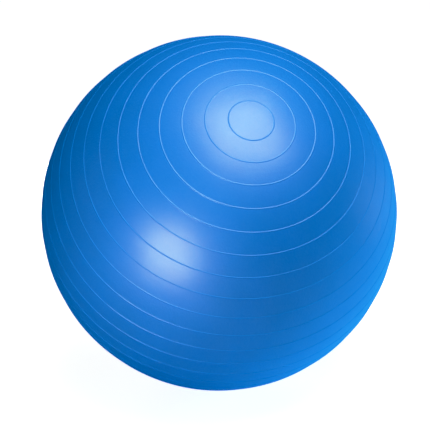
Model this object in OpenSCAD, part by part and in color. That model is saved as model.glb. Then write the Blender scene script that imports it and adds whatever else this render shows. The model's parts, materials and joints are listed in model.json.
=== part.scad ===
// Exercise ball: one hollow moulded vinyl skin with raised rings round its own axis, a thick
// valve seat bonded into the skin at one pole of that axis, and the plug that closes it.
//
// Frame: +Z up, origin at the centre of the ball, front towards -Y. The ring axis lies in the
// YZ plane. Its plain pole faces up and to the front, and its valve pole down and to the back.
// Each piece is drawn with the valve pole at the top of its axis, then turned to how it stands.

/* [Ball] */
// Diameter over the plain skin, pumped up
ball_d = 650; // [450:10:850]
// Thickness of the skin, pumped up
wall = 0.9; // [0.7:0.1:2]
// How far the ring axis leans from upright towards the front, in degrees
lean = 45; // [0:5:90]

/* [Rings] */
// Equal steps between rings, counted from pole to pole
ring_steps = 28; // [20:2:36]
// Width of a ring where it meets the skin
ring_w = 2.6; // [1.8:0.1:4]
// Height of a ring above the skin
ring_h = 0.5; // [0.4:0.1:1.1]

/* [Valve seat] */
// Diameter of the hole in the skin that the seat's collar fills
collar_d = 30; // [24:1:34]
// Diameter of the flange bonded to the inside of the skin
flange_d = 54; // [46:1:60]
// Thickness of the flange
flange_t = 1.6; // [1:0.1:2.5]
// Diameter of the hub where it meets the flange
hub_d = 42; // [34:1:44]
// Depth of the hub below the floor of the plug's dish
hub_depth = 9; // [6:0.5:14]
// Outer diameter of the sleeve that grips the plug
sleeve_d = 15; // [12:0.5:19]
// Length of the bore, inwards from the floor of the dish
bore_len = 23; // [18:1:32]
// Diameter of the bore at the floor of the dish
bore_mouth_d = 9; // [8:0.1:10]
// Diameter of the bore at its inner end
bore_end_d = 7.6; // [6.5:0.1:8]

/* [Plug] */
// Diameter of the plug's head
head_d = 17; // [14:0.5:20]
// Thickness of the head at its rim
head_t = 2.2; // [1.6:0.1:3]
// How far the stem reaches past the inner end of the bore
stem_past_bore = 2; // [0:0.5:5]
// Length of the plain seal under the head
seal_len = 3; // [2:0.5:5]
// Barbed ridges on the stem
ridges = 3; // [1:1:4]
// Diameter of the stem between its ridges
neck_d = 5.2; // [4.6:0.1:5.8]
// Diameter of the blind core that lets the stem squeeze
core_d = 3; // [2:0.1:3.4]
// Solid length of stem between the head and the core
core_stop = 5; // [3:0.5:8]
// Depth of the two fingernail notches in the rim of the head
notch_bite = 1.1; // [0.6:0.1:1.6]

/* [Clearances] */
// Gap round the head in its dish
head_gap = 0.4; // [0.2:0.1:1]
// Gap between the stem and the bore, on the radius
stem_gap = 0.05; // [0.02:0.01:0.1]

/* [Hidden] */
$fn = 256;

VINYL_BLUE = [0.10, 0.46, 0.88];
SEAT_BLUE = [0.08, 0.38, 0.76];
PLUG_WHITE = [0.93, 0.93, 0.91];

// Sides of the small rounds, whose radii are a few millimetres.
small_fn = 48;
// Overrun of a cut past the face it opens.
over = 1;

ball_r = ball_d / 2;
inner_r = ball_r - wall;
flange_r = inner_r - flange_t;

// A ring is the cap of a round bead whose outline crosses the skin's over the ring's width.
bead_r = (pow(ring_w / 2, 2) + pow(ring_h, 2)) / (2 * ring_h);
bead_orbit = ball_r + ring_h - bead_r;
ring_angle = 180 / ring_steps;

// Heights along the valve axis, from the centre of the ball.
dish_z = sqrt(pow(ball_r, 2) - pow(head_d / 2, 2)) - head_t;
hub_z = dish_z - hub_depth;
bore_end_z = dish_z - bore_len;

dish_r = head_d / 2 + head_gap;
sleeve_round = 1.5;

// The head's top edge is rounded, and the round meets the dome.
head_round = 0.6;
head_round_x = head_d / 2 - head_round;
head_round_z = sqrt(pow(ball_r, 2) - pow(head_round_x, 2)) - head_round;
notch_r = 3;

stem_len = bore_len + stem_past_bore;
stem_end_z = dish_z - stem_len;
seal_z = dish_z - seal_len;
tip_round = 1;
// Ridges share the stem between the seal and the tip. Each has a short crest, then a slope
// that ends a quarter of the way before the next.
ridge_pitch = (stem_len - seal_len - tip_round) / (ridges + 0.5);
ridge_crest = 0.5;
ridge_len = 0.75 * ridge_pitch;

as_it_stands() skin();
as_it_stands() valve_seat();
as_it_stands() plug();

// Turns a piece drawn with the valve pole along +Z to its place on the standing ball.
module as_it_stands() {
    rotate([lean - 180, 0, 0]) children();
}

// Radius of the tapered bore at height z on the valve axis.
function bore_r(z) =
    (bore_end_d + (bore_mouth_d - bore_end_d) * (z - bore_end_z) / bore_len) / 2;

// Rectangle from the axis out to radius r, between two heights.
module disc_section(r, low, high) {
    translate([0, low]) square([r, high - low]);
}

// Half outline of a ball of radius r, kept to radius reach above height low.
module dome_section(r, reach, low) {
    intersection() {
        circle(r);
        disc_section(reach, low, r + over);
    }
}

// Outline of one bead, at an angle from the valve pole.
module bead_section(angle) {
    translate([bead_orbit * sin(angle), bead_orbit * cos(angle)]) circle(bead_r, $fn = small_fn);
}

// Skin with its rings, open at the valve pole. The hollow takes the beads' inner halves away.
module skin() {
    color(VINYL_BLUE) rotate_extrude() difference() {
        union() {
            dome_section(ball_r, ball_r, -ball_r);
            for (i = [1:ring_steps - 1]) bead_section(i * ring_angle);
        }
        circle(inner_r);
        disc_section(collar_d / 2, 0, ball_r + over);
    }
}

// Collar that fills the hole in the skin, and the flange that backs it.
module seat_disc_section() {
    difference() {
        union() {
            dome_section(ball_r, collar_d / 2, 0);
            dome_section(inner_r, flange_d / 2, 0);
        }
        circle(flange_r);
    }
}

// Hub that narrows from the flange to the sleeve.
module hub_section() {
    polygon([
        [0, hub_z],
        [sleeve_d / 2, hub_z],
        [hub_d / 2, flange_r - flange_t],
        [hub_d / 2, flange_r],
        [0, flange_r],
    ]);
}

// Sleeve, with the outer edge of its inner end rounded.
module sleeve_section() {
    disc_section(sleeve_d / 2, bore_end_z + sleeve_round, hub_z + over);
    disc_section(sleeve_d / 2 - sleeve_round, bore_end_z, hub_z);
    translate([sleeve_d / 2 - sleeve_round, bore_end_z + sleeve_round])
        circle(sleeve_round, $fn = small_fn);
}

// Tapered bore, and the dish that the plug's head lies in.
module passage_section() {
    low = bore_end_z - over;
    polygon([[0, low], [bore_r(low), low], [bore_r(dish_z), dish_z], [0, dish_z]]);
    disc_section(dish_r, dish_z, ball_r + over);
}

// Seat bonded into the skin: collar, flange, hub and sleeve in one moulding.
module valve_seat() {
    color(SEAT_BLUE) rotate_extrude() difference() {
        union() {
            seat_disc_section();
            hub_section();
            sleeve_section();
        }
        passage_section();
    }
}

// Head of the plug, whose dome carries on the outline of the ball.
module head_section() {
    difference() {
        dome_section(ball_r, head_d / 2, dish_z);
        translate([head_round_x, head_round_z]) difference() {
            square([head_round + over, head_round + over]);
            circle(head_round, $fn = small_fn);
        }
    }
}

// One barbed ridge with its crest at height z: square to the head, with a slope that runs
// into the stem's wall towards the tip.
module ridge_section(z) {
    crest_r = bore_r(z - ridge_crest) - stem_gap;
    root_r = (neck_d + core_d) / 4;
    polygon([
        [0, z - ridge_len],
        [root_r, z - ridge_len],
        [crest_r, z - ridge_crest],
        [crest_r, z],
        [0, z],
    ]);
}

// Stem with its seal, ridges and rounded tip.
module stem_section() {
    disc_section(bore_r(seal_z) - stem_gap, seal_z, dish_z);
    disc_section(neck_d / 2, stem_end_z + tip_round, seal_z);
    disc_section(neck_d / 2 - tip_round, stem_end_z, seal_z);
    intersection() {
        translate([neck_d / 2 - tip_round, stem_end_z + tip_round])
            circle(tip_round, $fn = small_fn);
        disc_section(neck_d, stem_end_z, seal_z);
    }
    for (i = [0:ridges - 1]) ridge_section(seal_z - (i + 0.5) * ridge_pitch);
}

// Plug that closes the ball, with a blind core from the tip and two fingernail notches.
module plug() {
    color(PLUG_WHITE) difference() {
        rotate_extrude() difference() {
            union() {
                head_section();
                stem_section();
            }
            disc_section(core_d / 2, stem_end_z - over, dish_z - core_stop);
        }
        for (side = [-1, 1]) {
            translate([side * (head_d / 2 + notch_r - notch_bite), 0, dish_z - over])
                cylinder(r = notch_r, h = head_t + 2 * over);
        }
    }
}
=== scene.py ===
"""Looks of the exercise ball: its ringed vinyl skin, valve seat and plug, and the studio they stand in."""

import json
import math

import bpy
import numpy as np
from bpy.props import FloatProperty, FloatVectorProperty, IntProperty, PointerProperty
from bpy.types import Operator, Panel, PropertyGroup
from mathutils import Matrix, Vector


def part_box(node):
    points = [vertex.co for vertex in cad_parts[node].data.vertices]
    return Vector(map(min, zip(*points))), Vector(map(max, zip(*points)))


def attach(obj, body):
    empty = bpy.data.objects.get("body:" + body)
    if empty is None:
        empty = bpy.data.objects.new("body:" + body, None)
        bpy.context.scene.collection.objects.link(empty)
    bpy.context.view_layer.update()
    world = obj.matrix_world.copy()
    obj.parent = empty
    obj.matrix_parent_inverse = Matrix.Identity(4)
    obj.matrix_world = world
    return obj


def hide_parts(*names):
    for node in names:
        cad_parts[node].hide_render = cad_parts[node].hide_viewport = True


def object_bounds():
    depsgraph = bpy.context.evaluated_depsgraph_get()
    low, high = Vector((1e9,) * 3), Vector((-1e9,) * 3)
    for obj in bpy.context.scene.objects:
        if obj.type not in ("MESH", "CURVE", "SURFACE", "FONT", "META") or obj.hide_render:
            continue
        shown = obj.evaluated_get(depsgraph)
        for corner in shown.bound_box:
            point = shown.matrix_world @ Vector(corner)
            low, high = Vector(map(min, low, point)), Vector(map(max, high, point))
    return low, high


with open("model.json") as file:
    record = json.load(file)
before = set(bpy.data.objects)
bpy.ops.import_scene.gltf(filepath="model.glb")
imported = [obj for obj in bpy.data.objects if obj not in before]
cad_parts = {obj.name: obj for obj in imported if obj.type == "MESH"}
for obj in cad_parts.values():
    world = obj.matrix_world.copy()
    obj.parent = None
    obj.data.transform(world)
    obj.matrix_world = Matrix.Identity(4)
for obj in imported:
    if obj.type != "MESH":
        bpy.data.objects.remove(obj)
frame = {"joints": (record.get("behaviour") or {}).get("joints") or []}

bl_info = {
    "name": "Exercise Ball",
    "version": (1, 0, 0),
    "blender": (4, 5, 0),
    "location": "3D View > Sidebar > Exercise Ball",
    "description": "Builds a large vinyl exercise ball with its valve and plug round a packed frame",
    "category": "Add Mesh",
}

MM = 0.001
CREST = "crest"

# Steps round the valve axis in the seat's mesh and the plug's.
SEAT_COLUMNS = 128
PLUG_COLUMNS = 160

# The box of the CAD model, read before any piece is added.
CAD_BOX = [list(corner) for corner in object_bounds()]
FLOOR_Z = CAD_BOX[0][2]

# Pieces are drawn with the valve at the top of their own Z axis. The rows of this matrix are
# where their X, Y and Z axes lie on the standing ball: Z is the way that the plug comes out.
VALVE_WAY = np.array(frame["joints"][0]["axis"]) / np.linalg.norm(frame["joints"][0]["axis"])
AXES = np.array([[1.0, 0.0, 0.0], np.cross(VALVE_WAY, [1.0, 0.0, 0.0]), VALVE_WAY])


def length(name, description, millimetres):
    """A length property, given in millimetres and held in metres."""
    return FloatProperty(
        name=name, description=description, default=millimetres * MM, min=0.0, unit="LENGTH", precision=5
    )


def colour(name, description, default):
    """A colour property with linear red, green and blue."""
    return FloatVectorProperty(
        name=name, description=description, default=default, size=3, min=0.0, max=1.0, subtype="COLOR"
    )


class SkinSettings(PropertyGroup):
    """Sizes and colour of the ball's skin."""

    ring_steps: IntProperty(
        name="Ring Steps", description="Equal steps from pole to pole, with a ring at each", default=28, min=4
    )
    ring_height: length("Ring Height", "Height of a ring above the skin", 0.5)
    ring_foot: length("Ring Foot", "Width of a ring with the fillets at its foot", 2.7)
    ring_round: length("Ring Round", "Radius of a ring's rounded top", 0.9)
    wander: FloatProperty(
        name="Wander",
        description="How far the rings leave true circles, halfway between the poles",
        default=math.radians(1.45),
        unit="ROTATION",
    )
    wander_way: FloatProperty(
        name="Wander Way",
        description="Where round the skin the rings wander furthest towards the plain pole",
        default=math.radians(68.0),
        unit="ROTATION",
    )
    wall: length("Wall", "Thickness of the skin, pumped up", 0.9)
    lip_round: length("Lip Round", "Rounding of the edge of the hole that the valve seat fills", 0.3)
    columns: IntProperty(
        name="Columns", description="Steps round the skin's axis", default=240, min=24, max=250
    )
    tint: colour("Vinyl Blue", "Colour of the skin's vinyl", (0.018, 0.27, 0.88))
    # The paler crest colour is partly a painted highlight along every ring top and partly wear where the tops
    # are rubbed.
    crest_tint: colour("Crest Blue", "Colour of the rings' stretched and rubbed tops", (0.04, 0.38, 0.95))


class SeatSettings(PropertyGroup):
    """Sizes and colour of the valve seat."""

    collar_d: length("Collar", "Diameter of the collar in the skin's hole", 30)
    flange_d: length("Flange", "Diameter of the flange inside the skin", 54)
    flange_t: length("Flange Thickness", "Thickness of the flange", 1.6)
    hub_d: length("Hub", "Diameter of the hub where it meets the flange", 42)
    hub_depth: length("Hub Depth", "Depth of the hub below the floor of the dish", 9)
    sleeve_d: length("Sleeve", "Outer diameter of the sleeve that grips the plug", 15)
    bore_len: length("Bore Length", "Length of the bore from the floor of the dish", 23)
    bore_mouth_d: length("Bore Mouth", "Diameter of the bore at the floor of the dish", 9)
    bore_end_d: length("Bore End", "Diameter of the bore at its inner end", 7.6)
    head_gap: length("Head Gap", "Gap round the plug's head in its dish", 0.4)
    tint: colour("Seat Blue", "Colour of the seat's vinyl", (0.012, 0.20, 0.70))


class PlugSettings(PropertyGroup):
    """Sizes and colour of the plug."""

    head_d: length("Head", "Diameter of the head", 17)
    head_t: length("Head Thickness", "Thickness of the head at its rim", 2.2)
    stem_past_bore: length("Stem Past Bore", "How far the stem reaches past the bore", 2)
    seal_len: length("Seal", "Length of the plain seal under the head", 3)
    ridges: IntProperty(name="Ridges", description="Barbed ridges on the stem", default=3, min=1, max=4)
    neck_d: length("Neck", "Diameter of the stem between its ridges", 5.2)
    core_d: length("Core", "Diameter of the blind core", 3)
    core_stop: length("Core Stop", "Solid length of stem between the head and the core", 5)
    notch_bite: length("Notch Bite", "Depth of the two fingernail notches", 1.1)
    notch_r: length("Notch Radius", "Radius of the fingernail notches", 3)
    stem_gap: length("Stem Gap", "Gap between the stem and the bore, on the radius", 0.05)
    # The plug is white: this grey is a painted shade that stands in for less light, so the studio lamps don't
    # burn it out.
    tint: colour("Plug White", "Colour of the plug", (0.42, 0.42, 0.40))


class StudioSettings(PropertyGroup):
    """Camera, floor and light of the studio."""

    camera_azimuth: FloatProperty(
        name="Azimuth",
        description="Camera's angle round the ball from its front, positive towards +X",
        default=math.radians(-12.7),
        unit="ROTATION",
    )
    camera_elevation: FloatProperty(
        name="Elevation",
        description="Camera's angle above the ball's centre",
        default=math.radians(18.7),
        unit="ROTATION",
    )
    camera_distance: length("Distance", "Camera's distance from the ball's centre", 1787.5)
    camera_shift: FloatVectorProperty(
        name="Shift",
        description="How far the view is shifted right and up, as shares of the frame",
        default=(-0.0097, -0.0046),
        size=2,
        precision=4,
    )
    lens: FloatProperty(name="Lens", description="Focal length", default=80.43, unit="CAMERA")
    floor_tint: colour("Floor", "Colour of the floor", (0.80, 0.80, 0.80))


def sag(points, normals, ball_r):
    """Drops an outline drawn flat onto the ball: z becomes z + sqrt(R^2 - r^2), and a normal gains
    r / sqrt(R^2 - r^2) times its z part along r."""
    depth = np.sqrt(ball_r**2 - points[:, 0] ** 2)
    bent = points + np.stack([np.zeros_like(depth), depth], 1)
    tilted = normals + np.stack([normals[:, 1] * points[:, 0] / depth, np.zeros_like(depth)], 1)
    return bent, tilted / np.linalg.norm(tilted, axis=1)[:, None]


def right_of(directions):
    """The directions turned a quarter to the right, which is outwards where the solid is on the left."""
    return np.stack([directions[..., 1], -directions[..., 0]], -1)


def rounded(corners, looped, steps=5):
    """Outline through corners (x, y, q) with the solid on its left, and its outward normals. Where it
    turns by an angle t, an arc of radius q starts q tan(t / 2) before the corner, and its normals turn
    evenly from one straight stretch to the next. An open outline keeps its two ends as they are."""
    corners, radii = np.split(np.array(corners, float), [2], axis=1)
    leaving = np.roll(corners, -1, 0) - corners
    leaving /= np.linalg.norm(leaving, axis=1)[:, None]
    coming = np.roll(leaving, 1, 0)
    cross = coming[:, :1] * leaving[:, 1:] - coming[:, 1:] * leaving[:, :1]
    turn = np.arctan2(cross, (coming * leaving).sum(1, keepdims=True))
    first = right_of(coming)
    reach = np.sign(turn) * radii
    centres = corners - coming * (radii * np.tan(np.abs(turn) / 2)) - reach * first
    swept = turn * np.linspace(0, 1, steps)
    cos, sin = np.cos(swept), np.sin(swept)
    x, y = first[:, :1], first[:, 1:]
    normals = np.stack([x * cos - y * sin, x * sin + y * cos], 2)
    points = centres[:, None] + reach[:, None] * normals
    if looped:
        return points.reshape(-1, 2), normals.reshape(-1, 2)
    return (
        np.concatenate([corners[:1], points[1:-1].reshape(-1, 2), corners[-1:]]),
        np.concatenate([right_of(leaving[:1]), normals[1:-1].reshape(-1, 2), right_of(coming[-1:])]),
    )


def divided(points, normals, longest):
    """Adds evenly spaced points on each stretch of an open outline that is longer than it may be."""
    step = np.diff(points, axis=0)
    parts = np.maximum(1, np.ceil(np.linalg.norm(step, axis=1) / longest)).astype(int)
    piece = np.repeat(np.arange(len(parts)), parts)
    share = (np.arange(len(piece)) - (np.cumsum(parts) - parts)[piece]) / parts[piece]
    share = share[:, None]
    return (
        np.concatenate([points[piece] + share * step[piece], points[-1:]]),
        np.concatenate([normals[piece] + share * np.diff(normals, axis=0)[piece], normals[-1:]]),
    )


def straight_round(r, angle):
    """A plain turned piece: its radius is the same at every angle. Gives the radius, how it grows with
    the outline's radius and how it grows with the angle."""
    flat = np.zeros_like(r + angle)
    return r + flat, 1 + flat, flat


def turned(name, outline, normals, columns, looped, radius_at=straight_round):
    """Mesh of an outline (r, z) turned round the valve axis: P = r' cos(a) X + r' sin(a) Y + z Z, where
    r' is the radius that radius_at gives for r and a. An open outline starts and ends on the axis. The
    normal has parts n_r outwards, -n_r (dr'/da) / r' round, and n_z dr'/dr along the axis, from the
    outline's own normal (n_r, n_z)."""
    angle = np.linspace(0, 2 * np.pi, columns, endpoint=False)[None]
    rows = slice(None) if looped else slice(1, -1)
    r, z = outline[rows, :1], outline[rows, 1:]
    grown, by_radius, by_angle = radius_at(r, angle)
    n_r, n_z = normals[rows, :1], normals[rows, 1:]
    out, side, up = n_r + 0 * grown, -n_r * by_angle / grown, n_z * by_radius
    cos, sin = np.cos(angle), np.sin(angle)
    points = np.stack([grown * cos, grown * sin, z + 0 * grown], 2)
    facing = np.stack([out * cos - side * sin, out * sin + side * cos, up], 2)
    if looped:
        return closed_surface(name, points, facing)
    return closed_surface(name, points, facing, outline[[0, -1], 1], normals[[0, -1], 1])


def wrapped_skin(name, outline, normals, settings, ball_r):
    """Mesh of the skin from its outline (s, h), an arc length from the valve pole and a height above
    the skin. At an angle a round the axis, the point lies t = s / R + w sin(s / R)^2 cos 2(a - b) from
    the valve pole, where w is the wander and b its way, and R + h from the centre: P = (R + h)
    (sin t cos a X + sin t sin a Y + cos t Z). Its normal turns by the same t. A point attribute holds
    h as a share of the rings' height."""
    angle = np.linspace(0, 2 * np.pi, settings.columns, endpoint=False)[None]
    even, height = outline[1:-1, :1] / ball_r, outline[1:-1, 1:]
    t = even + settings.wander * np.sin(even) ** 2 * np.cos(2 * (angle - settings.wander_way))
    cos, sin = np.cos(angle), np.sin(angle)
    along = np.stack([np.cos(t) * cos, np.cos(t) * sin, -np.sin(t)], 2)
    out = np.stack([np.sin(t) * cos, np.sin(t) * sin, np.cos(t)], 2)
    points = (ball_r + height)[..., None] * out
    facing = normals[1:-1, :1, None] * along + normals[1:-1, 1:, None] * out
    ends = -(ball_r + outline[[0, -1], 1])
    skin = closed_surface(name, points, facing, ends, -normals[[0, -1], 1])
    crest = np.zeros(len(skin.data.vertices), np.float32)
    share = np.clip(height / settings.ring_height, 0, 1)
    crest[: points[..., 0].size] = np.broadcast_to(share, points.shape[:2]).ravel()
    skin.data.attributes.new(CREST, "FLOAT", "POINT").data.foreach_set("value", crest)
    return skin


def closed_surface(name, points, facing, ends=None, end_facing=None):
    """Object of a grid of points in rows round the valve axis, with their normals. Its last row meets
    its first, or, where ends gives two heights on the axis and end_facing their normals' Z, each end
    is closed by one vertex."""
    rows, columns = points.shape[:2]
    index = np.arange(rows * columns).reshape(rows, columns)
    beside = np.roll(index, -1, 1)
    below = slice(None) if ends is None else slice(0, -1)
    above, above_beside = np.roll(index, -1, 0)[below], np.roll(beside, -1, 0)[below]
    quads = np.stack([index[below], beside[below], above_beside, above], 2).reshape(-1, 4)
    points, facing = points.reshape(-1, 3), facing.reshape(-1, 3)
    fans = np.zeros((0, 3), int)
    if ends is not None:
        first, last = np.full(columns, len(points)), np.full(columns, len(points) + 1)
        on_axis = np.array([[0.0, 0.0, 1.0]])
        points = np.concatenate([points, np.array(ends)[:, None] * on_axis])
        facing = np.concatenate([facing, np.array(end_facing)[:, None] * on_axis])
        fans = np.concatenate(
            [np.stack([first, beside[0], index[0]], 1), np.stack([index[-1], beside[-1], last], 1)]
        )
    return smooth_object(name, points @ AXES, facing @ AXES, quads, fans)


def smooth_object(name, points, facing, quads, fans):
    """Object at the origin with a smooth mesh of these points, faces and vertex normals."""
    mesh = bpy.data.meshes.new(name)
    mesh.vertices.add(len(points))
    mesh.vertices.foreach_set("co", points.astype(np.float32).ravel())
    mesh.loops.add(quads.size + fans.size)
    mesh.loops.foreach_set("vertex_index", np.concatenate([quads.ravel(), fans.ravel()]).astype(np.int32))
    mesh.polygons.add(len(quads) + len(fans))
    starts = np.concatenate([np.arange(len(quads)) * 4, quads.size + np.arange(len(fans)) * 3])
    mesh.polygons.foreach_set("loop_start", starts.astype(np.int32))
    mesh.update(calc_edges=True)
    mesh.shade_smooth()
    facing = facing / np.linalg.norm(facing, axis=1)[:, None]
    mesh.normals_split_custom_set_from_vertices(facing.astype(np.float32))
    piece = bpy.data.objects.new(name, mesh)
    bpy.context.scene.collection.objects.link(piece)
    return piece


def ring_outline(settings):
    """One ring's outline from its far foot to its near foot, as offsets (x, h) and normals. With half
    foot w, height h and top radius q, the fillet radius f makes q + f = (w^2 + h^2) / 2h, and the arcs
    meet where the outline has turned by asin(w / (q + f))."""
    half, height, top = settings.ring_foot / 2, settings.ring_height, settings.ring_round
    fillet = (half**2 + height**2) / (2 * height) - top
    lean = math.asin(half / (top + fillet))
    foot, crown = np.linspace(0, lean, 3), np.linspace(lean, -lean, 5)
    # Each arc's centre, its radius, which is negative on a fillet, and the angles along it.
    arcs = (
        (half, fillet, -fillet, foot),
        (0, height - top, top, crown),
        (-half, fillet, -fillet, -foot[::-1]),
    )
    points = [np.stack([x + reach * np.sin(a), h + reach * np.cos(a)], 1) for x, h, reach, a in arcs]
    angles = np.concatenate([foot, crown[1:-1], -foot[::-1]])
    return (
        np.concatenate([points[0], points[1][1:-1], points[2]]),
        np.stack([np.sin(angles), np.cos(angles)], 1),
    )


def skin_outline(settings, collar_r, ball_r):
    """The skin's outline (s, h), from the plain pole over the rings to the valve's hole, round its lip,
    and back along the inside."""
    far, hole = math.pi * ball_r, ball_r * math.asin(collar_r / ball_r)
    wall, lip_round = settings.wall, settings.lip_round
    corners = [(far, 0, 0), (hole, 0, lip_round), (hole, -wall, lip_round), (far, -wall, 0)]
    lip, lip_normals = rounded(corners, looped=False)
    ring, ring_normals = ring_outline(settings)
    steps = np.arange(settings.ring_steps - 1, 0, -1)[:, None]
    across = steps * far / settings.ring_steps + ring[None, :, 0]
    height = np.broadcast_to(ring[:, 1], across.shape)
    rings = np.stack([across, height], 2).reshape(-1, 2)
    points = np.concatenate([lip[:1], rings, lip[1:]])
    normals = np.concatenate([lip_normals[:1], np.tile(ring_normals, (len(steps), 1)), lip_normals[1:]])
    outer_step, inner_step = 9 * MM, 30 * MM
    longest = np.where(points[:-1, 1] < -wall / 2, inner_step, outer_step)
    return divided(points, normals, longest)


def ball_radius(skin):
    """Radius of the plain skin. The middle ring is the widest, so the box reaches its top."""
    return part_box("skin")[1].x - skin.ring_height


def dish_depth(plug, ball_r):
    """Depth of the dish's floor below the top of the ball on the valve axis."""
    return ball_r - math.sqrt(ball_r**2 - (plug.head_d / 2) ** 2) + plug.head_t


def bore_radius(seat, depth):
    """Radius of the tapered bore at a depth below the floor of the dish."""
    return (seat.bore_mouth_d - (seat.bore_mouth_d - seat.bore_end_d) * depth / seat.bore_len) / 2


def seat_outline(settings):
    """The seat's outline (r, z) drawn flat, with z 0 at the outside of the skin: collar, dish, bore,
    sleeve, hub and flange. Each corner's last number is its rounding in millimetres."""
    skin, seat, plug = settings.ball_skin, settings.ball_seat, settings.ball_plug
    floor = -dish_depth(plug, ball_radius(skin))
    under = -skin.wall - seat.flange_t
    collar_r, flange_r, hub_r, sleeve_r = (
        size / 2 for size in (seat.collar_d, seat.flange_d, seat.hub_d, seat.sleeve_d)
    )
    dish_r = plug.head_d / 2 + seat.head_gap
    hub_z, end_z = floor - seat.hub_depth, floor - seat.bore_len
    corners = [
        (collar_r, 0, 0.3),
        (dish_r, 0, 0.35),
        (dish_r, floor, 0.35),
        (seat.bore_mouth_d / 2, floor, 0.4),
        (seat.bore_end_d / 2, end_z, 0.5),
        (sleeve_r, end_z, 1.5),
        (sleeve_r, hub_z, 2.0),
        (hub_r, under - seat.flange_t, 1.0),
        (hub_r, under, 0.6),
        (flange_r, under, 0.6),
        (flange_r, -skin.wall, 0.6),
        (collar_r, -skin.wall, 0.15),
    ]
    return rounded(np.array(corners) * (1, 1, MM), looped=True)


def plug_outline(settings):
    """The plug's outline (r, z) drawn flat: across the blind core's end, down its wall to the tip, up the
    barbed stem to the seal, and round the head to the middle of its top. The ridges share the stem
    evenly, the first of them half a pitch below the seal. Each corner's last number is its rounding in
    millimetres."""
    seat, plug = settings.ball_seat, settings.ball_plug
    floor = -dish_depth(plug, ball_radius(settings.ball_skin))
    tip_z, seal_z = floor - seat.bore_len - plug.stem_past_bore, floor - plug.seal_len
    core_r, neck_r, head_r = plug.core_d / 2, plug.neck_d / 2, plug.head_d / 2
    core_z = floor - plug.core_stop
    corners = [
        (0, core_z, 0),
        (core_r, core_z, 0.4),
        (core_r, tip_z, 0.25),
        (neck_r, tip_z, 0.7),
    ]
    tip_round, crest_len, ridge_share, longest = 1.0 * MM, 0.5 * MM, 0.75, 1.5 * MM
    pitch = (seal_z - tip_z - tip_round) / (plug.ridges + 0.5)
    root_r = (plug.neck_d + plug.core_d) / 4
    for step in range(plug.ridges - 1, -1, -1):
        top_z = seal_z - (step + 0.5) * pitch
        crest_r = bore_radius(seat, floor - top_z + crest_len) - plug.stem_gap
        slope = (ridge_share * pitch - crest_len) / (crest_r - root_r)
        base_z = top_z - crest_len - slope * (crest_r - neck_r)
        corners += [
            (neck_r, base_z, 0.6),
            (crest_r, top_z - crest_len, 0.2),
            (crest_r, top_z, 0.15),
            (neck_r, top_z, 0.25),
        ]
    seal_r = bore_radius(seat, plug.seal_len) - plug.stem_gap
    corners += [
        (neck_r, seal_z, 0.3),
        (seal_r, seal_z, 0.4),
        (seal_r, floor, 0.2),
        (head_r, floor, 0.3),
        (head_r, 0, 0.6),
        (0, 0, 0),
    ]
    return divided(*rounded(np.array(corners) * (1, 1, MM), looped=False), longest)


def notched(plug):
    """Radius of the notched plug: r' = r - k(r) d(a). The bite d is how far the notch's circle cuts in
    from the rim at an angle, and k is a smooth step from 0 at a radius inside the head to 1 just before
    its rim, so the rim keeps its rounded edges all along the notch."""
    head_r = plug.head_d / 2
    start_r, full_r = plug.head_d / 3.4, 0.94 * head_r
    orbit = head_r + plug.notch_r - plug.notch_bite

    def radius_at(r, angle):
        across = orbit * np.sin(angle)
        inside = np.sqrt(np.maximum(plug.notch_r**2 - across**2, 0))
        cut = np.abs(orbit * np.cos(angle)) - inside
        hit = (np.abs(across) < plug.notch_r) & (cut < head_r)
        bite = np.where(hit, head_r - cut, 0)
        columns = angle.shape[1]
        turn = (np.roll(bite, -1, 1) - np.roll(bite, 1, 1)) / (4 * np.pi / columns)
        span = full_r - start_r
        share = np.clip((r - start_r) / span, 0, 1)
        step = share**2 * (3 - 2 * share)
        growth = np.where((share > 0) & (share < 1), 6 * share * (1 - share) / span, 0)
        return r - step * bite, 1 - growth * bite, -step * turn

    return radius_at


def feed(tree, node, inputs):
    """Gives each of these sockets of a node its value or its link."""
    for name, value in inputs.items():
        if isinstance(value, bpy.types.NodeSocket):
            tree.links.new(value, node.inputs[name])
        else:
            node.inputs[name].default_value = value


def add_node(tree, kind, inputs=None, **settings):
    """A node of this kind with these settings and inputs."""
    node = tree.nodes.new(kind)
    for name, value in settings.items():
        setattr(node, name, value)
    feed(tree, node, inputs or {})
    return node


def new_group(name, inputs, outputs):
    """An empty shader node group. inputs and outputs pair each socket's name with its kind."""
    tree = bpy.data.node_groups.new(name, "ShaderNodeTree")
    for socket, kind in inputs:
        tree.interface.new_socket(socket, in_out="INPUT", socket_type="NodeSocket" + kind)
    for socket, kind in outputs:
        tree.interface.new_socket(socket, in_out="OUTPUT", socket_type="NodeSocket" + kind)
    return tree, tree.nodes.new("NodeGroupInput").outputs, tree.nodes.new("NodeGroupOutput").inputs


def maths(tree, operation, *values):
    """Output of a Math node on these values or sockets."""
    return add_node(tree, "ShaderNodeMath", dict(enumerate(values)), operation=operation).outputs[0]


def mixed_shaders(tree, share, first, second):
    """Output of a Mix Shader node, which is all second where the share is 1."""
    return add_node(tree, "ShaderNodeMixShader", {0: share, 1: first, 2: second}).outputs[0]


def noise(tree, where, scale, detail=2.0, roughness=0.5, distortion=0.0):
    """Output of a noise texture, from 0 to 1, about 0.5."""
    sockets = {
        "Vector": where,
        "Scale": scale,
        "Detail": detail,
        "Roughness": roughness,
        "Distortion": distortion,
    }
    return add_node(tree, "ShaderNodeTexNoise", sockets).outputs[0]


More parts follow.
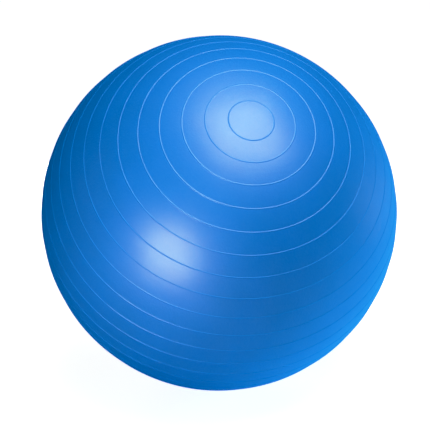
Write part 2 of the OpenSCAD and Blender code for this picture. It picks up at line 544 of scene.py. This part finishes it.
def moulded_grain():
    """Group: the fine grain that a mould leaves on vinyl or plastic, as a height from 0 to 1, on a broad,
    slow swell from 0 to Swell."""
    tree, given, out = new_group(
        "moulded_grain",
        [("Vector", "Vector"), ("Grain Scale", "Float"), ("Swell", "Float")],
        [("Height", "Float")],
    )
    times_broader = 14.0
    fine = noise(tree, given["Vector"], given["Grain Scale"], detail=3.0, roughness=0.6)
    slow = noise(tree, given["Vector"], maths(tree, "DIVIDE", given["Grain Scale"], times_broader))
    tree.links.new(maths(tree, "MULTIPLY_ADD", slow, given["Swell"], fine), out["Height"])
    return tree


def pigment_drift():
    """Group: a colour that drifts a little lighter and darker over the surface."""
    tree, given, out = new_group(
        "pigment_drift",
        [("Vector", "Vector"), ("Color", "Color"), ("Scale", "Float"), ("Drift", "Float")],
        [("Color", "Color")],
    )
    cloud = maths(tree, "SUBTRACT", noise(tree, given["Vector"], given["Scale"], detail=4.0), 0.5)
    value = maths(tree, "MULTIPLY_ADD", cloud, given["Drift"], 1.0)
    shade = add_node(tree, "ShaderNodeHueSaturation", {"Value": value, "Color": given["Color"]})
    tree.links.new(shade.outputs[0], out["Color"])
    return tree


def handling():
    """Group: roughness where hands and floors have rubbed the surface, and a mask of the rubbed
    places."""
    tree, given, out = new_group(
        "handling",
        [("Vector", "Vector"), ("Scale", "Float"), ("Roughness", "Float"), ("Spread", "Float")],
        [("Roughness", "Float"), ("Rubbed", "Float")],
    )
    cloud = noise(tree, given["Vector"], given["Scale"], detail=5.0, roughness=0.62, distortion=0.6)
    rubbed = add_node(
        tree,
        "ShaderNodeMapRange",
        {"Value": cloud, "From Min": 0.38, "From Max": 0.66},
        interpolation_type="SMOOTHSTEP",
    ).outputs[0]
    centred = maths(tree, "SUBTRACT", rubbed, 0.5)
    rough = maths(tree, "MULTIPLY_ADD", centred, given["Spread"], given["Roughness"])
    tree.links.new(rough, out["Roughness"])
    tree.links.new(rubbed, out["Rubbed"])
    return tree


def use_group(tree, make, inputs):
    """Outputs of the group that this function makes, which is made once and placed in each material."""
    group = bpy.data.node_groups.get(make.__name__) or make()
    return add_node(tree, "ShaderNodeGroup", inputs, node_tree=group).outputs


def new_material(name, base_colour):
    """A material with a Principled shader, its tree and its object coordinates."""
    material = bpy.data.materials.new(name)
    material.use_nodes = True
    material.diffuse_color = (*base_colour, 1.0)
    tree = material.node_tree
    shader = tree.nodes["Principled BSDF"]
    where = tree.nodes.new("ShaderNodeTexCoord").outputs["Object"]
    return material, tree, shader, where


def moulded_vinyl(name, tint, gloss, crest_tint=None):
    """Soft pearly vinyl: flakes in the pigment give a broad blue sheen under a smoother white gloss. The
    mould's fine grain mottles the gloss, which fades towards the edge of what is seen: it is
    (1 - f e^2) (m - d g) for an edge-on share e and a grain height g. On a ringed skin, the tops of the
    rings are duller and painted paler: the even paling on every ring is a painted highlight, and where
    they are rubbed the extra paling is wear."""
    edge_fade, mottle_most, mottle_depth = 0.9, 1.25, 0.35
    material, tree, shader, where = new_material(name, tint)
    shade = use_group(
        tree, pigment_drift, {"Vector": where, "Color": (*tint, 1.0), "Scale": 9.0, "Drift": 0.12}
    )["Color"]
    rubbed = use_group(
        tree, handling, {"Vector": where, "Scale": 16.0, "Roughness": 0.7, "Spread": 0.05}
    )
    grain = use_group(tree, moulded_grain, {"Vector": where, "Grain Scale": 300.0, "Swell": 1.0})
    bump = add_node(
        tree, "ShaderNodeBump", {"Height": grain["Height"], "Strength": 0.6, "Distance": 0.6 * MM}
    )
    edge_on = add_node(tree, "ShaderNodeLayerWeight", {"Blend": 0.5}).outputs["Facing"]
    faded = maths(tree, "MULTIPLY_ADD", maths(tree, "POWER", edge_on, 2.0), -edge_fade, 1.0)
    mottle = maths(tree, "MULTIPLY_ADD", grain["Height"], -mottle_depth, mottle_most)
    sheen = maths(tree, "MULTIPLY", faded, mottle)
    if crest_tint:
        # Every ring top is painted paler by an even share, a painted highlight for the light lines the rings
        # catch; the rubbed share on top of it is wear.
        paling, rubbed_paling, dulling = 0.30, 0.2, 1.5
        crest = add_node(tree, "ShaderNodeAttribute", attribute_name=CREST).outputs["Fac"]
        highlight_and_wear = maths(tree, "MULTIPLY_ADD", rubbed["Rubbed"], rubbed_paling, paling)
        highlight_and_worn = maths(tree, "MULTIPLY", crest, highlight_and_wear)
        # A colour Mix node's two colours are its inputs 6 and 7, and its result is output 2.
        shade = add_node(
            tree, "ShaderNodeMix", {0: highlight_and_worn, 6: shade, 7: (*crest_tint, 1.0)}, data_type="RGBA"
        ).outputs[2]
        sheen = maths(tree, "MULTIPLY", sheen, maths(tree, "MULTIPLY_ADD", highlight_and_worn, -dulling, 1.0))
    finish = {
        "Base Color": shade,
        "Metallic": 0.57,
        "Roughness": rubbed["Roughness"],
        "Specular IOR Level": 0.0,
        "Coat Weight": sheen,
        "Coat Roughness": gloss,
        "Coat IOR": 1.82,
        "Normal": bump.outputs[0],
    }
    feed(tree, shader, finish)
    return material


def moulded_plastic(name, tint):
    """Firm white plastic with a fine matte mould finish."""
    material, tree, shader, where = new_material(name, tint)
    shade = use_group(
        tree, pigment_drift, {"Vector": where, "Color": (*tint, 1.0), "Scale": 160.0, "Drift": 0.06}
    )
    rubbed = use_group(
        tree, handling, {"Vector": where, "Scale": 240.0, "Roughness": 0.42, "Spread": 0.10}
    )
    grain = use_group(tree, moulded_grain, {"Vector": where, "Grain Scale": 2500.0, "Swell": 0.6})
    bump = add_node(
        tree, "ShaderNodeBump", {"Height": grain["Height"], "Strength": 0.3, "Distance": 0.04 * MM}
    )
    finish = {"Base Color": shade["Color"], "Roughness": rubbed["Roughness"], "Normal": bump.outputs[0]}
    feed(tree, shader, finish)
    return material


def place(piece, body, node, material):
    """Gives a finished piece its material and its body, and hides the CAD node it stands for."""
    piece.data.materials.append(material)
    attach(piece, body)
    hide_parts(node)


def towards(azimuth, elevation):
    """Unit vector at these angles in radians: azimuth 0 is the front, positive towards +X."""
    return Vector(
        (
            math.sin(azimuth) * math.cos(elevation),
            -math.cos(azimuth) * math.cos(elevation),
            math.sin(elevation),
        )
    )


class BALL_OT_skin(Operator):
    """Build the ringed vinyl skin"""

    bl_idname = "ball.skin"
    bl_label = "Skin"

    def execute(self, context):
        scene = context.scene
        settings = scene.ball_skin
        ball_r = ball_radius(settings)
        outline, normals = skin_outline(settings, scene.ball_seat.collar_d / 2, ball_r)
        skin = wrapped_skin("skin_shell", outline, normals, settings, ball_r)
        tint, crest_tint = tuple(settings.tint), tuple(settings.crest_tint)
        material = moulded_vinyl("ball_vinyl", tint, gloss=0.36, crest_tint=crest_tint)
        place(skin, "ball", "skin", material)
        return {"FINISHED"}


class BALL_OT_seat(Operator):
    """Build the valve seat"""

    bl_idname = "ball.seat"
    bl_label = "Valve Seat"

    def execute(self, context):
        scene = context.scene
        outline, normals = sag(*seat_outline(scene), ball_radius(scene.ball_skin))
        seat = turned("seat_moulding", outline, normals, SEAT_COLUMNS, looped=True)
        material = moulded_vinyl("seat_vinyl", tuple(scene.ball_seat.tint), gloss=0.40)
        place(seat, "ball", "valve_seat", material)
        return {"FINISHED"}


class BALL_OT_plug(Operator):
    """Build the plug"""

    bl_idname = "ball.plug"
    bl_label = "Plug"

    def execute(self, context):
        scene = context.scene
        outline, normals = sag(*plug_outline(scene), ball_radius(scene.ball_skin))
        notches = notched(scene.ball_plug)
        plug = turned("plug_stopper", outline, normals, PLUG_COLUMNS, looped=False, radius_at=notches)
        material = moulded_plastic("plug_plastic", tuple(scene.ball_plug.tint))
        place(plug, "plug", "plug", material)
        return {"FINISHED"}


# Lamps: name, azimuth and elevation in degrees, distance, width and height in metres, power in
# watts, and whether glossy surfaces show it. They face the ball's centre.
LAMPS = (
    ("low_left", -38.5, -3.5, 1.25, 0.52, 0.54, 6.5, True),
    ("high_front", 14.0, 61.0, 1.30, 0.78, 0.80, 9.6, True),
    ("top", 60.0, 82.0, 1.50, 0.80, 0.80, 1.4, True),
    ("right", 95.0, 2.0, 1.50, 1.10, 0.60, 0.2, True),
    ("back", 172.0, -8.0, 1.60, 0.60, 0.60, 6.0, True),
    ("right_fill", 92.0, 0.0, 2.50, 1.20, 0.80, 36.0, False),
    ("low_right_fill", 86.0, -33.0, 2.50, 1.20, 0.80, 150.0, False),
    ("top_fill", -20.0, 80.0, 1.50, 0.80, 0.80, 7.5, False),
    ("left_fill", -95.0, 10.0, 1.60, 0.90, 0.80, 1.5, False),
    ("back_fill", 175.0, -5.0, 1.60, 0.80, 0.60, 12.0, False),
    ("low_back_fill", 180.0, -50.0, 1.50, 0.80, 0.60, 5.0, False),
)

# Light of the backdrop that shows as white, red that shows as black, and how blue levels off
# towards the backdrop's: pairs of light and shown value.
BACKDROP = (1.0, 1.0, 1.4)
RED_FLOOR = 0.012
BLUE_SHOULDER = ((0.30, 0.30), (0.55, 0.55), (0.80, 0.77), (1.00, 0.87), (1.20, 0.94))


def softbox(name, azimuth, elevation, distance, width, height, watts, glossy):
    """A soft rectangular light that faces the ball's centre and isn't seen by the camera."""
    lamp = bpy.data.lights.new(name, "AREA")
    lamp.shape = "RECTANGLE"
    lamp.size, lamp.size_y = width, height
    lamp.energy = watts
    light = bpy.data.objects.new(name, lamp)
    way = towards(math.radians(azimuth), math.radians(elevation))
    light.location = way * distance
    light.rotation_euler = way.to_track_quat("Z", "Y").to_euler()
    light.visible_camera = False
    light.visible_glossy = glossy
    bpy.context.scene.collection.objects.link(light)


def studio_floor(tint):
    """Wide round floor under the ball. The camera sees it glow as bright as a lit table, and a dimmer glow
    near the ball is painted shade round its foot; everything else sees a plain matt floor. Lamps shine
    through it, and it is clear from below, as a glass table is."""
    radius, sides = 14.0, 96
    # The glow dips towards the ball: a painted shade round its foot, as the camera sees the floor.
    glow_range = {"From Min": 0.4, "From Max": 1.2, "To Min": 0.80, "To Max": 1.0}
    angle = np.linspace(0, 2 * np.pi, sides, endpoint=False)
    points = np.stack([radius * np.cos(angle), radius * np.sin(angle), np.full(sides, FLOOR_Z)], 1)
    mesh = bpy.data.meshes.new("floor")
    mesh.from_pydata(points.tolist(), [], [list(range(sides))])
    floor = bpy.data.objects.new("floor", mesh)
    floor.visible_glossy = False
    floor.visible_shadow = False
    bpy.context.scene.collection.objects.link(floor)
    material, tree, shader, where = new_material("floor", tint)
    reach = add_node(tree, "ShaderNodeVectorMath", {0: where}, operation="LENGTH").outputs["Value"]
    camera_glow_with_painted_shade = add_node(tree, "ShaderNodeMapRange", {"Value": reach, **glow_range}).outputs[0]
    path = tree.nodes.new("ShaderNodeLightPath")
    finish = {
        "Base Color": (*tint, 1.0),
        "Roughness": 0.9,
        "Specular IOR Level": 0.1,
        "Emission Color": (*BACKDROP, 1.0),
        "Emission Strength": maths(tree, "MULTIPLY", path.outputs["Is Camera Ray"], camera_glow_with_painted_shade),
    }
    feed(tree, shader, finish)
    below = tree.nodes.new("ShaderNodeNewGeometry").outputs["Backfacing"]
    clear = tree.nodes.new("ShaderNodeBsdfTransparent").outputs[0]
    surface = mixed_shaders(tree, below, shader.outputs[0], clear)
    feed(tree, tree.nodes["Material Output"], {"Surface": surface})
    mesh.materials.append(material)


def studio_world(seen, ambient):
    """White surroundings as the camera sees them, and a dimmer ambient light for everything else."""
    world = bpy.data.worlds.new("studio")
    world.use_nodes = True
    tree = world.node_tree
    tree.nodes.clear()
    path = tree.nodes.new("ShaderNodeLightPath")
    dim = add_node(tree, "ShaderNodeBackground", {"Color": (1, 1, 1, 1), "Strength": ambient})
    bright = add_node(tree, "ShaderNodeBackground", {"Color": (*BACKDROP, 1.0), "Strength": seen})
    surface = mixed_shaders(tree, path.outputs["Is Camera Ray"], dim.outputs[0], bright.outputs[0])
    add_node(tree, "ShaderNodeOutputWorld", {"Surface": surface})
    bpy.context.scene.world = world


def graded(view):
    """The camera's response: strong blues push red down to nothing, and bright blues level off before
    they reach the backdrop's."""
    view.view_transform = "Standard"
    view.use_curve_mapping = True
    curves = view.curve_mapping
    curves.black_level = (RED_FLOOR, 0.0, 0.0)
    curves.white_level = BACKDROP
    for seen, shown in BLUE_SHOULDER:
        curves.curves[2].points.new(seen / BACKDROP[2], shown)
    curves.update()


class BALL_OT_studio(Operator):
    """Build the floor, the lights and the camera"""

    bl_idname = "ball.studio"
    bl_label = "Studio"

    def execute(self, context):
        scene = context.scene
        settings = scene.ball_studio
        studio_floor(tuple(settings.floor_tint))
        studio_world(seen=1.0, ambient=0.02)
        for lamp in LAMPS:
            softbox(*lamp)
        camera = bpy.data.objects.new("camera", bpy.data.cameras.new("camera"))
        camera.data.lens = settings.lens
        camera.data.shift_x, camera.data.shift_y = settings.camera_shift
        way = towards(settings.camera_azimuth, settings.camera_elevation)
        camera.location = way * settings.camera_distance
        camera.rotation_euler = way.to_track_quat("Z", "Y").to_euler()
        scene.collection.objects.link(camera)
        scene.camera = camera
        graded(scene.view_settings)
        return {"FINISHED"}


class BALL_PT_sidebar(Panel):
    """Lists the ball's sizes, colours and operators"""

    bl_idname = "BALL_PT_sidebar"
    bl_label = "Exercise Ball"
    bl_space_type = "VIEW_3D"
    bl_region_type = "UI"
    bl_category = "Exercise Ball"

    def draw(self, context):
        for name, operator in SECTIONS:
            box = self.layout.box()
            settings = getattr(context.scene, name)
            for prop in settings.__annotations__:
                box.prop(settings, prop)
            box.operator(operator)


SECTIONS = (
    ("ball_skin", "ball.skin"),
    ("ball_seat", "ball.seat"),
    ("ball_plug", "ball.plug"),
    ("ball_studio", "ball.studio"),
)
SETTINGS = (SkinSettings, SeatSettings, PlugSettings, StudioSettings)
CLASSES = (*SETTINGS, BALL_OT_skin, BALL_OT_seat, BALL_OT_plug, BALL_OT_studio, BALL_PT_sidebar)


def register():
    for cls in CLASSES:
        bpy.utils.register_class(cls)
    for (name, _), group in zip(SECTIONS, SETTINGS):
        setattr(bpy.types.Scene, name, PointerProperty(type=group))


def unregister():
    for name, _ in SECTIONS:
        delattr(bpy.types.Scene, name)
    for cls in reversed(CLASSES):
        bpy.utils.unregister_class(cls)


def main():
    register()
    bpy.ops.ball.skin()
    bpy.ops.ball.seat()
    bpy.ops.ball.plug()
    bpy.ops.ball.studio()


if __name__ == "__main__":
    main()
